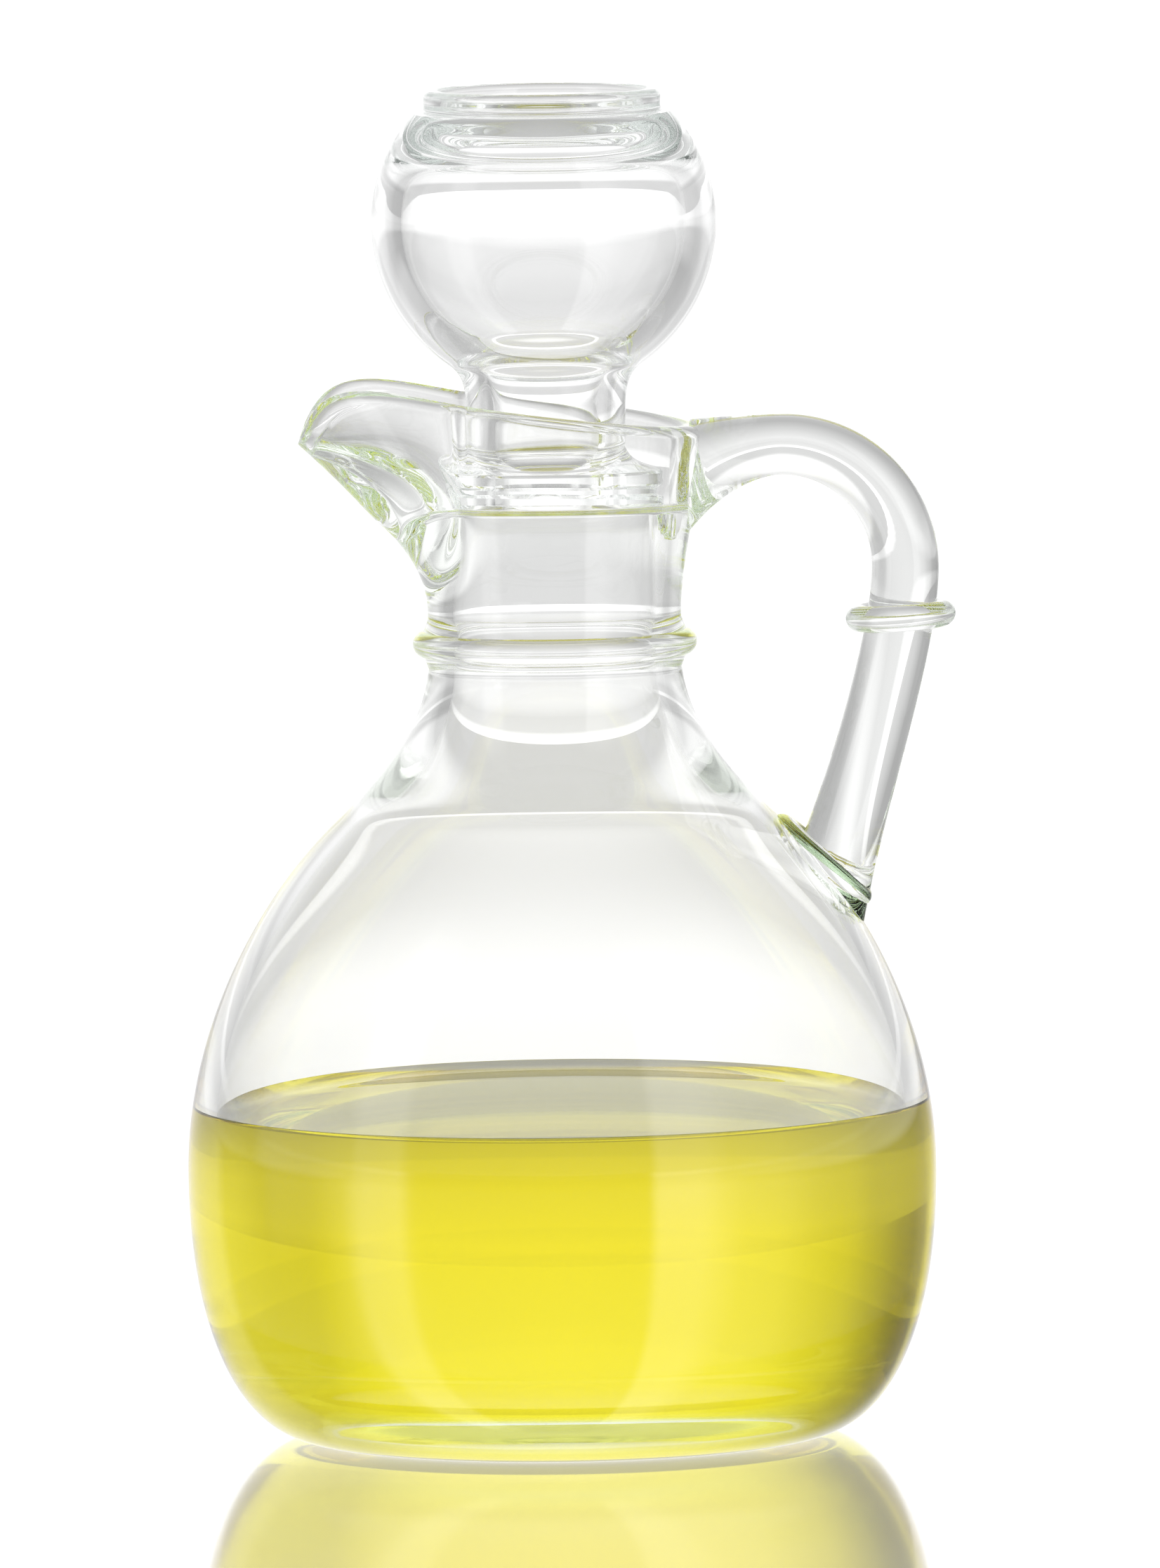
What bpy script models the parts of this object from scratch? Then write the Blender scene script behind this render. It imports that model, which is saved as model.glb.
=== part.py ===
"""Oil cruet of clear pressed glass: bottle with pulled spout and loop handle, hollow stopper, oil.

Frame: origin at the middle of the flat base, +Z up, spout towards -X, handle towards +X.
Profiles are lists of (radius, height) in metres.
"""

import math

import bmesh
import bpy
from mathutils import Vector

MM = 0.001

# Body of the bottle
BASE_RADIUS = 27.3 * MM
BELLY_RADIUS = 41.1 * MM
BELLY_HEIGHT = 29.3 * MM
SHOULDER = (23.6 * MM, 68.4 * MM)
SHOULDER_SLOPE = 1.09
INNER_SHOULDER = (19.3 * MM, 69.9 * MM)
INNER_SLOPE = 1.15
BELLY_WALL = 2.8 * MM
BASE_THICKNESS = 6.8 * MM

# Neck, its ring and the mouth
NECK_RADIUS = 13.9 * MM
NECK_BOTTOM = 84.5 * MM
BORE_RADIUS = 11.1 * MM
RING_HEIGHT = 87.2 * MM
RING_CENTRE_RADIUS = 14.15 * MM
RING_SECTION = 1.45 * MM
LEDGE_HEIGHT = 102.5 * MM
MOUTH_BORE_RADIUS = 13.7 * MM
RIM_HEIGHT = 112.9 * MM
RIM_RADIUS = 15.35 * MM
RIM_ROUND = 1.2 * MM
BORE_WALL_MIDDLE = 12.5 * MM
MOUTH_WALL_MIDDLE = 14.7 * MM

# Sloping rim and pulled spout
RIM_SLOPE = 0.125
SLOPE_FROM = 103.2 * MM
SPOUT_REACH = 11.3 * MM
SPOUT_HALF_ANGLE = math.radians(50)
SPOUT_OUTER_FROM = 91.0 * MM
SPOUT_OUTER_POWER = 1.9
SPOUT_INNER_FROM = 103.0 * MM
SPOUT_INNER_POWER = 1.25
SPOUT_LIFT = 2.0 * MM
SPOUT_DIP = 7.9 * MM
SPOUT_DIP_WIDTH = 7.6 * MM

# Handle: root on the neck, quarter arc, long leg down to the shoulder, a bead on it and one at its foot
HANDLE_RADIUS = 3.7 * MM
HANDLE_TOP_RADIUS = 3.35 * MM
HANDLE_ROOT_X = 12.0 * MM
HANDLE_ROOT_FLARE = 3.2 * MM
HANDLE_ROOT_DROP = 3.6 * MM
HANDLE_ARC_CENTRE = (25.1 * MM, 95.2 * MM)
HANDLE_ARC_RADIUS = 13.4 * MM
HANDLE_FOOT = (28.2 * MM, 56.0 * MM)
HANDLE_FOOT_FLARE = 1.6 * MM
COLLAR_MAJOR = 4.6 * MM
COLLAR_SECTION = 1.45 * MM
COLLAR_DROP = 0.2
COLLAR_TILT = math.radians(-3.2)
FOOT_BEAD_CENTRE = (28.9 * MM, 62.9 * MM)
FOOT_BEAD_MAJOR = 4.2 * MM
FOOT_BEAD_SECTION = 1.3 * MM
FOOT_BEAD_STRETCH = 1.28
FOOT_BEAD_TILT = math.radians(42.5)

# Stopper
BALL_HEIGHT = 133.4 * MM
BALL_RADIUS = 18.9 * MM
BALL_TOP_SEMI = 17.9 * MM
HOLLOW_RADIUS = 15.6 * MM
STOPPER_TOP = 148.0 * MM
STOPPER_RIM_RADIUS = 12.1 * MM
STOPPER_RIM_ROUND = 0.9 * MM
STOPPER_DISH = 143.9 * MM
HOLLOW_TOP = 141.4 * MM
STEM_RADIUS = 8.6 * MM
STEM_BORE = 5.7 * MM
PLUG_RADIUS = 12.7 * MM
PLUG_GROOVE = 0.7 * MM
STOPPER_SHIFT = -0.6 * MM

# Oil
OIL_LEVEL = 35.4 * MM
GAP = 0.3 * MM

# Facets and mesh welding
BOTTLE_STEPS = 44
STOPPER_STEPS = 32
OIL_STEPS = 40
ROD_RINGS = 7
WELD = 0.00001
SMOOTH_ANGLE = math.radians(40)


def bezier(start, first, second, end, steps):
    """Points of a cubic curve after its start, up to and with its end."""
    points = []
    for step in range(1, steps + 1):
        t = step / steps
        weights = ((1 - t) ** 3, 3 * t * (1 - t) ** 2, 3 * t * t * (1 - t), t ** 3)
        hull = (start, first, second, end)
        points.append(tuple(sum(w * p[axis] for w, p in zip(weights, hull)) for axis in (0, 1)))
    return points


def arc(centre, radii, start, end, steps):
    """Points of a circular or elliptic arc, angles in degrees from the +radius direction."""
    points = []
    for step in range(steps + 1):
        angle = math.radians(start + (end - start) * step / steps)
        points.append((centre[0] + radii[0] * math.cos(angle), centre[1] + radii[1] * math.sin(angle)))
    return points


def inset(profile, depth):
    """The profile moved by depth towards its left side, seen along its direction."""
    moved = []
    for index, (radius, height) in enumerate(profile):
        before = profile[max(index - 1, 0)]
        after = profile[min(index + 1, len(profile) - 1)]
        run = after[0] - before[0]
        rise = after[1] - before[1]
        length = math.hypot(run, rise)
        moved.append((radius - depth * rise / length, height + depth * run / length))
    return moved


def along_shoulder(point, slope, drop):
    """A point before (drop > 0) or after the shoulder's steepest point, along its tangent."""
    return (point[0] + slope * drop, point[1] - drop)


def outer_body():
    """Outside of the body, from the edge of the flat base up to the foot of the neck."""
    base = (BASE_RADIUS, 0.0)
    belly = (BELLY_RADIUS, BELLY_HEIGHT)
    neck = (NECK_RADIUS, NECK_BOTTOM)
    heel = bezier(base, (34.5 * MM, 0.0), (BELLY_RADIUS, 9.5 * MM), belly, 10)
    before = along_shoulder(SHOULDER, SHOULDER_SLOPE, 8.8 * MM)
    after = along_shoulder(SHOULDER, SHOULDER_SLOPE, -5.0 * MM)
    upper = bezier(belly, (BELLY_RADIUS, 44.8 * MM), before, SHOULDER, 9)
    sweep = bezier(SHOULDER, after, (14.6 * MM, 78.5 * MM), neck, 6)
    return [base] + heel + upper + sweep


def inner_body():
    """Inside of the body, from the middle of its floor up to the foot of the bore."""
    floor = (24.0 * MM, BASE_THICKNESS)
    belly = (BELLY_RADIUS - BELLY_WALL, BELLY_HEIGHT)
    bore = (BORE_RADIUS, NECK_BOTTOM)
    heel = bezier(floor, (32.0 * MM, BASE_THICKNESS), (belly[0], 11.0 * MM), belly, 7)
    before = along_shoulder(INNER_SHOULDER, INNER_SLOPE, 11.5 * MM)
    after = along_shoulder(INNER_SHOULDER, INNER_SLOPE, -4.0 * MM)
    upper = bezier(belly, (belly[0], 43.8 * MM), before, INNER_SHOULDER, 7)
    sweep = bezier(INNER_SHOULDER, after, (11.2 * MM, 77.5 * MM), bore, 5)
    return [(0.0, BASE_THICKNESS), floor] + heel + upper + sweep


def outer_neck():
    """Outside of the neck, from the ring up to the start of the rim's round edge."""
    ring = arc((RING_CENTRE_RADIUS, RING_HEIGHT), (RING_SECTION, RING_SECTION), -80, 80, 6)
    flare_start = (NECK_RADIUS, 90.0 * MM)
    rim_side = (RIM_RADIUS + RIM_ROUND, RIM_HEIGHT - RIM_ROUND)
    flare = bezier(flare_start, (NECK_RADIUS, 97.0 * MM), (16.4 * MM, 103.0 * MM), rim_side, 8)
    return ring + [flare_start] + flare


def inner_neck():
    """Inside of the neck, from the bore up over the ledge to the start of the rim's round edge."""
    ledge = LEDGE_HEIGHT
    return [
        (BORE_RADIUS, 93.0 * MM),
        (BORE_RADIUS, ledge - 0.6 * MM),
        (BORE_RADIUS + 0.6 * MM, ledge),
        (MOUTH_BORE_RADIUS - 0.1 * MM, ledge),
        (MOUTH_BORE_RADIUS, ledge + 0.5 * MM),
        (MOUTH_BORE_RADIUS + 0.1 * MM, 106.0 * MM),
        (MOUTH_BORE_RADIUS + 0.3 * MM, 109.5 * MM),
    ]


def bottle_profile():
    """Whole section of the bottle, from the floor inside, over the rim, to the middle of the base."""
    rim = arc((RIM_RADIUS, RIM_HEIGHT - RIM_ROUND), (RIM_ROUND, RIM_ROUND), 180, 0, 5)
    outside = outer_body() + outer_neck()[:-1]
    return inner_body() + inner_neck() + rim + outside[::-1] + [(0.0, 0.0)]


def core_profile():
    """A solid that ends in the middle of the wall: it trims the handle's two ends."""
    outside = outer_body()[4:] + [(NECK_RADIUS, 90.0 * MM)] + outer_neck()[8:]
    middle = inset(outside, BELLY_WALL / 2)
    top = middle[-1][1]
    bottom = middle[0][1]
    return [(0.0, top)] + middle[::-1] + [(0.0, bottom)]


def stopper_profile():
    """Section of the hollow stopper, from its dish over the outside to the top of the hollow."""
    dish = bezier((0.0, STOPPER_DISH), (8.6 * MM, STOPPER_DISH), (11.2 * MM, 144.6 * MM),
                  (STOPPER_RIM_RADIUS - STOPPER_RIM_ROUND, 146.6 * MM), 5)
    rim_centre = (STOPPER_RIM_RADIUS, STOPPER_TOP - STOPPER_RIM_ROUND)
    rim = arc(rim_centre, (STOPPER_RIM_ROUND, STOPPER_RIM_ROUND), 180, 0, 5)
    notch = [(12.75 * MM, 146.0 * MM), (12.9 * MM, 145.6 * MM)]
    upper_ball = arc((0.0, BALL_HEIGHT), (BALL_RADIUS, BALL_TOP_SEMI), 42, 0, 6)
    lower_ball = arc((0.0, BALL_HEIGHT), (BALL_RADIUS, BALL_RADIUS), -8, -56, 7)
    waist = bezier(lower_ball[-1], (9.1 * MM, 116.7 * MM), (8.75 * MM, 115.2 * MM), (8.7 * MM, 112.5 * MM), 4)
    plug_top = bezier((STEM_RADIUS, 109.0 * MM), (STEM_RADIUS, 107.4 * MM), (10.5 * MM, 107.0 * MM),
                      (PLUG_RADIUS - 0.3 * MM, 106.6 * MM), 4)
    bottom = LEDGE_HEIGHT + GAP
    groove = PLUG_RADIUS - PLUG_GROOVE
    plug = [(PLUG_RADIUS, 106.3 * MM), (PLUG_RADIUS, 105.2 * MM), (groove, 104.9 * MM), (groove, 104.4 * MM),
            (PLUG_RADIUS, 104.1 * MM), (PLUG_RADIUS, 103.3 * MM), (PLUG_RADIUS - 0.5 * MM, bottom)]
    bore = [(STEM_BORE + 0.6 * MM, bottom), (STEM_BORE, bottom + 0.6 * MM), (STEM_BORE, 112.0 * MM)]
    lower_hollow = arc((0.0, BALL_HEIGHT), (HOLLOW_RADIUS, HOLLOW_RADIUS), -60, 10, 9)
    throat = bezier(bore[-1], (STEM_BORE, 115.6 * MM), (6.3 * MM, 118.6 * MM), lower_hollow[0], 4)
    roof = bezier(lower_hollow[-1], (14.8 * MM, 139.6 * MM), (12.8 * MM, 141.0 * MM),
                  (9.5 * MM, HOLLOW_TOP), 4)
    outside = [(0.0, STOPPER_DISH)] + dish + rim + notch + upper_ball + lower_ball + waist
    plug_section = [(STEM_RADIUS, 109.0 * MM)] + plug_top + plug
    inside = bore + throat + lower_hollow[1:] + roof + [(0.0, HOLLOW_TOP)]
    return outside + plug_section + inside


def oil_profile():
    """Section of the oil: its flat top, then down inside the wall and across the floor."""
    wall = [point for point in inset(inner_body(), GAP) if point[1] < OIL_LEVEL]
    last = wall[-1]
    following = inset(inner_body(), GAP)[len(wall)]
    share = (OIL_LEVEL - last[1]) / (following[1] - last[1])
    edge = (last[0] + share * (following[0] - last[0]), OIL_LEVEL)
    floor = [(0.0, BASE_THICKNESS + GAP)] + wall[1:]
    return [(0.0, OIL_LEVEL), edge] + floor[::-1]


def mouth_form(point, outside):
    """Where a turned point of the mouth goes when the rim is sloped and the spout is pulled."""
    angle = abs(math.atan2(point.y, -point.x))
    radius = math.hypot(point.x, point.y)
    if radius < WELD:
        return point
    start = SPOUT_OUTER_FROM if outside else SPOUT_INNER_FROM
    power = SPOUT_OUTER_POWER if outside else SPOUT_INNER_POWER
    climb = min(max((point.z - start) / (RIM_HEIGHT - RIM_ROUND - start), 0.0), 1.0)
    spread = max(1 - (angle / SPOUT_HALF_ANGLE) ** 2, 0.0) ** 1.5
    reach = 1 + SPOUT_REACH * climb ** power * spread / radius
    x = point.x * reach
    y = point.y * reach
    share = min(max((point.z - SLOPE_FROM) / (RIM_HEIGHT - RIM_ROUND - SLOPE_FROM), 0.0), 1.0)
    channel = SPOUT_DIP * math.exp(-(y / SPOUT_DIP_WIDTH) ** 2)
    lift = (SPOUT_LIFT - channel) * spread * climb ** 2
    return Vector((x, y, point.z - RIM_SLOPE * x * share + lift))


def handle_path():
    """The handle's centre line as (x, z, radius)."""
    path = []
    centre_x, centre_z = HANDLE_ARC_CENTRE
    top = centre_z + HANDLE_ARC_RADIUS
    for step in range(ROD_RINGS):
        rest = 1 - step / ROD_RINGS
        x = HANDLE_ROOT_X + (centre_x - HANDLE_ROOT_X) * (1 - rest)
        path.append((x, top - HANDLE_ROOT_DROP * rest ** 1.8, HANDLE_TOP_RADIUS + HANDLE_ROOT_FLARE * rest ** 1.8))
    for step in range(ROD_RINGS):
        turn = math.pi / 2 * (1 - step / ROD_RINGS)
        radius = HANDLE_TOP_RADIUS + (HANDLE_RADIUS - HANDLE_TOP_RADIUS) * step / ROD_RINGS
        x = centre_x + HANDLE_ARC_RADIUS * math.cos(turn)
        path.append((x, centre_z + HANDLE_ARC_RADIUS * math.sin(turn), radius))
    leg_top = (centre_x + HANDLE_ARC_RADIUS, centre_z)
    leg = [leg_top] + bezier(leg_top, (leg_top[0], 87.5 * MM), (33.3 * MM, 71.1 * MM), HANDLE_FOOT, 10)
    for index, (x, z) in enumerate(leg):
        share = index / (len(leg) - 1)
        path.append((x, z, HANDLE_RADIUS + HANDLE_FOOT_FLARE * share ** 5))
    return path


def clear_scene():
    for item in list(bpy.data.objects):
        bpy.data.objects.remove(item, do_unlink=True)


def new_collection(name):
    collection = bpy.data.collections.new(name)
    bpy.context.scene.collection.children.link(collection)
    return collection


def plain_material(name, colour, roughness):
    material = bpy.data.materials.new(name)
    material.use_nodes = True
    shader = material.node_tree.nodes["Principled BSDF"]
    shader.inputs["Base Color"].default_value = colour
    shader.inputs["Roughness"].default_value = roughness
    shader.inputs["Metallic"].default_value = 0.0
    return material


def evaluated_mesh(source, name, collection):
    """A plain mesh object with the source's evaluated shape; the source is removed."""
    depsgraph = bpy.context.evaluated_depsgraph_get()
    mesh = bpy.data.meshes.new_from_object(source.evaluated_get(depsgraph))
    mesh.name = name
    placed = bpy.data.objects.new(name, mesh)
    placed.matrix_world = source.matrix_world
    collection.objects.link(placed)
    bpy.data.objects.remove(source, do_unlink=True)
    shape = bmesh.new()
    shape.from_mesh(mesh)
    bmesh.ops.remove_doubles(shape, verts=shape.verts, dist=WELD)
    shape.to_mesh(mesh)
    shape.free()
    return placed


def turned(name, profile, steps, collection):
    """The profile turned round the Z axis."""
    mesh = bpy.data.meshes.new(name + "_profile")
    edges = [(index, index + 1) for index in range(len(profile) - 1)]
    mesh.from_pydata([(radius, 0.0, height) for radius, height in profile], edges, [])
    lathe = bpy.data.objects.new(name + "_lathe", mesh)
    collection.objects.link(lathe)
    screw = lathe.modifiers.new("turn", "SCREW")
    screw.axis = "Z"
    screw.angle = math.tau
    screw.steps = steps
    screw.render_steps = steps
    screw.use_merge_vertices = True
    screw.merge_threshold = WELD
    return evaluated_mesh(lathe, name, collection)


def form_mouth(bottle):
    """Slope the rim and pull the spout; the wall's middle tells its outside from its inside."""
    for vertex in bottle.data.vertices:
        middle = MOUTH_WALL_MIDDLE if vertex.co.z > LEDGE_HEIGHT - WELD else BORE_WALL_MIDDLE
        vertex.co = mouth_form(vertex.co, math.hypot(vertex.co.x, vertex.co.y) > middle)


def rod(name, path, collection):
    """A round bar along the path in the XZ plane, with its own radius at each point."""
    curve = bpy.data.curves.new(name, "CURVE")
    curve.dimensions = "3D"
    curve.bevel_depth = 1.0
    curve.bevel_resolution = 2
    curve.use_fill_caps = True
    spline = curve.splines.new("POLY")
    spline.points.add(len(path) - 1)
    for point, (x, z, radius) in zip(spline.points, path):
        point.co = (x, 0.0, z, 1.0)
        point.radius = radius
    guide = bpy.data.objects.new(name + "_guide", curve)
    collection.objects.link(guide)
    return evaluated_mesh(guide, name, collection)


def bead(name, centre, tilt, sizes, stretch, collection):
    """A round bead: a ring of (major, section) radii about the XZ centre, tilted and stretched."""
    major, section = sizes
    bpy.ops.mesh.primitive_torus_add(major_radius=major, minor_radius=section,
                                     major_segments=20, minor_segments=10,
                                     location=(centre[0], 0.0, centre[1]), rotation=(0.0, tilt, 0.0))
    ring = bpy.context.object
    ring.name = name
    ring.scale.x = stretch
    for owner in list(ring.users_collection):
        owner.objects.unlink(ring)
    collection.objects.link(ring)
    return ring


def handle_beads(path, collection):
    """The collar on the handle's leg and the bead round its foot."""
    leg = path[2 * ROD_RINGS:]
    spot = COLLAR_DROP * (len(leg) - 1)
    here = leg[int(spot)]
    there = leg[int(spot) + 1]
    share = spot - int(spot)
    centre = (here[0] + share * (there[0] - here[0]), here[1] + share * (there[1] - here[1]))
    return (bead("handle_collar", centre, COLLAR_TILT, (COLLAR_MAJOR, COLLAR_SECTION), 1.0, collection),
            bead("foot_bead", FOOT_BEAD_CENTRE, FOOT_BEAD_TILT, (FOOT_BEAD_MAJOR, FOOT_BEAD_SECTION),
                 FOOT_BEAD_STRETCH, collection))


def boolean(target, operation, tool):
    modifier = target.modifiers.new(operation.lower() + "_" + tool.name, "BOOLEAN")
    modifier.operation = operation
    modifier.solver = "EXACT"
    modifier.object = tool


def hide_tool(tool):
    tool.hide_render = True
    tool.display_type = "WIRE"


def smooth(item):
    item.data.shade_smooth()
    item.data.set_sharp_from_angle(angle=SMOOTH_ANGLE)


def build_bottle(parts, tools, glass):
    bottle = turned("cruet_bottle", bottle_profile(), BOTTLE_STEPS, parts)
    form_mouth(bottle)
    path = handle_path()
    handle = rod("handle", path, tools)
    core = turned("wall_core", core_profile(), BOTTLE_STEPS, tools)
    boolean(handle, "DIFFERENCE", core)
    beads = handle_beads(path, tools)
    for tool in (handle, core) + beads:
        hide_tool(tool)
    for tool in (handle,) + beads:
        boolean(bottle, "UNION", tool)
    smooth(bottle)
    bottle.data.materials.append(glass)


def build_stopper(parts, glass):
    stopper = turned("stopper", stopper_profile(), STOPPER_STEPS, parts)
    stopper.location.x = STOPPER_SHIFT
    smooth(stopper)
    stopper.data.materials.append(glass)


def build_oil(parts, oil_colour):
    oil = turned("oil", oil_profile(), OIL_STEPS, parts)
    smooth(oil)
    oil.data.materials.append(oil_colour)


def main():
    clear_scene()
    parts = new_collection("oil_cruet")
    tools = new_collection("cutters")
    build_bottle(parts, tools, plain_material("clear_glass", (0.90, 0.93, 0.90, 1.0), 0.05))
    build_stopper(parts, plain_material("stopper_glass", (0.91, 0.93, 0.92, 1.0), 0.05))
    build_oil(parts, plain_material("yellow_oil", (0.88, 0.76, 0.10, 1.0), 0.1))


main()
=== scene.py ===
import math

import bmesh
import bpy
import numpy as np
from mathutils import Matrix, Quaternion, Vector


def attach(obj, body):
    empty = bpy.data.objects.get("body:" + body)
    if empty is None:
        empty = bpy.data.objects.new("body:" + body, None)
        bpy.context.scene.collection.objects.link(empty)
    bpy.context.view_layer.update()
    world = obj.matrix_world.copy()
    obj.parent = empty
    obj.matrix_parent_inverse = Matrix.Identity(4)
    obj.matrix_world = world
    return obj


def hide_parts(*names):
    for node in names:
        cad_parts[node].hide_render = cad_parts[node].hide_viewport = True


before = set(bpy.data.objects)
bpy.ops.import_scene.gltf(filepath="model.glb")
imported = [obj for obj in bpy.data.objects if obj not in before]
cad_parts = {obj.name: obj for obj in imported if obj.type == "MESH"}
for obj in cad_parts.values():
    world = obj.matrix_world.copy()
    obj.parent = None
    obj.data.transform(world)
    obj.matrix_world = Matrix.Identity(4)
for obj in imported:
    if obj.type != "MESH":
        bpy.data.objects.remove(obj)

MM = 0.001

# Body of the bottle: the same driving sizes as the solids
BASE_RADIUS = 27.3 * MM
BELLY_RADIUS = 41.1 * MM
BELLY_HEIGHT = 29.3 * MM
SHOULDER = (23.6 * MM, 68.4 * MM)
SHOULDER_SLOPE = 1.09
INNER_SHOULDER = (19.3 * MM, 69.9 * MM)
INNER_SLOPE = 1.15
BELLY_WALL = 2.8 * MM
BASE_THICKNESS = 6.8 * MM

# Neck, ring and mouth
NECK_RADIUS = 13.9 * MM
NECK_BOTTOM = 84.5 * MM
BORE_RADIUS = 11.1 * MM
RING_HEIGHT = 87.2 * MM
RING_CENTRE_RADIUS = 14.15 * MM
RING_SECTION = 1.45 * MM
LEDGE_HEIGHT = 102.5 * MM
MOUTH_BORE_RADIUS = 13.7 * MM
RIM_HEIGHT = 112.9 * MM
RIM_RADIUS = 15.35 * MM
RIM_ROUND = 1.2 * MM
BORE_WALL_MIDDLE = 12.5 * MM
MOUTH_WALL_MIDDLE = 14.7 * MM

# Sloping rim and pulled spout
RIM_SLOPE = 0.125
SLOPE_FROM = 103.2 * MM
SPOUT_REACH = 11.3 * MM
SPOUT_HALF_ANGLE = math.radians(50)
SPOUT_OUTER_FROM = 91.0 * MM
SPOUT_OUTER_POWER = 1.9
SPOUT_INNER_FROM = 103.0 * MM
SPOUT_INNER_POWER = 1.25
SPOUT_LIFT = 2.0 * MM
SPOUT_DIP = 7.9 * MM
SPOUT_DIP_WIDTH = 7.6 * MM

# Handle
HANDLE_RADIUS = 3.7 * MM
HANDLE_TOP_RADIUS = 3.35 * MM
HANDLE_ROOT_X = 12.0 * MM
HANDLE_ROOT_FLARE = 3.2 * MM
HANDLE_ROOT_DROP = 3.6 * MM
HANDLE_ARC_CENTRE = (25.1 * MM, 95.2 * MM)
HANDLE_ARC_RADIUS = 13.4 * MM
HANDLE_FOOT = (28.2 * MM, 56.0 * MM)
HANDLE_FOOT_FLARE = 1.6 * MM
COLLAR_MAJOR = 4.6 * MM
COLLAR_SECTION = 1.45 * MM
COLLAR_DROP = 0.2
COLLAR_TILT = math.radians(-3.2)
FOOT_BEAD_CENTRE = (28.9 * MM, 62.9 * MM)
FOOT_BEAD_MAJOR = 4.2 * MM
FOOT_BEAD_SECTION = 1.3 * MM
FOOT_BEAD_STRETCH = 1.28
FOOT_BEAD_TILT = math.radians(42.5)

# Stopper
BALL_HEIGHT = 133.4 * MM
BALL_RADIUS = 18.9 * MM
BALL_TOP_SEMI = 17.9 * MM
HOLLOW_RADIUS = 15.6 * MM
STOPPER_TOP = 147.95 * MM
STOPPER_RIM_RADIUS = 12.1 * MM
STOPPER_RIM_ROUND = 0.9 * MM
STOPPER_DISH = 143.9 * MM
HOLLOW_TOP = 141.4 * MM
STEM_RADIUS = 8.6 * MM
STEM_BORE = 5.7 * MM
PLUG_RADIUS = 12.7 * MM
PLUG_GROOVE = 0.7 * MM
STOPPER_SHIFT = -0.6 * MM
PLUG_CLEARANCE = 0.3 * MM

# Oil
OIL_LEVEL = 35.4 * MM
OIL_INTO_WALL = 0.05 * MM
MENISCUS_RISE = 1.0 * MM
MENISCUS_REACH = 1.4 * MM
MENISCUS_ZONE = 9.0 * MM
MENISCUS_STEPS = 36
MENISCUS_CROWDING = 1.6

# Mesh fineness
FINE = 5
BOTTLE_STEPS = 160
STOPPER_STEPS = 128
OIL_STEPS = 160
ROD_RINGS = 24
WELD = 0.000004
SMOOTH_ANGLE = math.radians(38)

# Glass and oil
GLASS_IOR = 1.52
BOTTLE_TINT = (0.88, 0.95, 0.86, 1.0)
BOTTLE_DENSITY = 12.0
BOTTLE_WAVES = (14 * MM, 0.012 * MM)
STOPPER_TINT = (0.9, 0.94, 0.92, 1.0)
STOPPER_DENSITY = 8.0
STOPPER_WAVES = (9 * MM, 0.015 * MM)
HAZE_SCALE = 60.0
HAZE_NOISE = (0.45, 0.8)
HAZE_ROUGHNESS = 0.02
OIL_IOR = 1.47
OIL_TINT = (0.987, 0.972, 0.5, 1.0)
OIL_DENSITY = 130.0

# Studio light by compass direction: degrees from the camera's side, positive to the right, and brightness.
# The lists are what shines through the glass, what mirrors in it, and what mirrors in it low down.
LIGHT_THROUGH = [(-180, 1.17), (-164, 1.14), (-156, 1.07), (-150, 0.95), (-144, 0.82), (-137, 0.58),
                 (-128, 0.34), (-120, 0.22), (-112, 0.24), (-106, 1.1), (30, 1.2), (108, 1.2),
                 (124, 1.08), (132, 0.95), (142, 0.86), (150, 0.84), (157, 1.02), (164, 1.13),
                 (180, 1.17)]
LIGHT_MIRRORED = [(-180, 1.1), (-165, 1.0), (-150, 0.7), (-134, 0.6), (-128, 0.2), (-80, 0.15),
                  (-72, 0.5), (-66, 1.7), (-52, 1.5), (-48, 0.5), (-46, 0.45), (27, 0.45), (30, 1.9),
                  (44, 1.9), (58, 0.85), (74, 0.6), (84, 0.3), (95, 0.15), (128, 0.2), (140, 0.22),
                  (157, 0.4), (170, 1.0), (180, 1.1)]
LIGHT_LOW = [(-180, 1.3), (-164, 1.28), (-156, 1.15), (-150, 0.98), (-143, 0.86), (-137, 0.66),
             (-112, 0.5), (-106, 1.1), (-60, 1.1), (-44, 0.4), (25, 0.4), (41, 1.2), (108, 1.2),
             (124, 1.15), (134, 1.0), (142, 0.82), (150, 0.85), (157, 1.1), (164, 1.25), (180, 1.3)]
BRIGHTEST = 2.0
BACKDROP_SEEN = 1.05
DARKEST_CLEAR = 0.72
CEILING_LIGHT = 0.8
CEILING_MIRRORED = 0.4
GROUND_MIRRORED = 0.1
HORIZON_LIGHT = 0.64
# Where the parts of the studio begin and end, in degrees above the horizon
CEILING_ELEVATION = (40, 60)
HORIZON_ELEVATION = (6, 12)
GROUND_ELEVATION = (-80, -70)
LOW_FROM_ELEVATION = (-2, 0)
LOW_TO_ELEVATION = (20, 8)

# The floor as it shines through clear glass and through the oil, with painted light and shade in rings:
# metres from the middle, and brightness
FLOOR_REACH = 2.4
FLOOR_PAINTED_LIGHT_THROUGH_GLASS = [(0.0, 1.0), (0.027, 1.0), (0.05, 0.75), (0.12, 0.62), (0.2, 0.78), (0.29, 0.88),
               (0.36, 0.92), (0.42, 0.96), (0.47, 0.96), (0.6, 0.85), (0.7, 0.77), (0.78, 0.72),
               (1.1, 0.72), (1.5, 0.72), (1.9, 0.95), (2.4, 1.0)]
FLOOR_PAINTED_LIGHT_THROUGH_OIL = [(0.0, 0.45), (0.04, 0.45), (0.08, 0.4), (0.15, 0.5), (0.2, 0.68), (0.29, 0.82),
                     (0.39, 0.84), (0.8, 0.9), (2.4, 0.97)]
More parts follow.
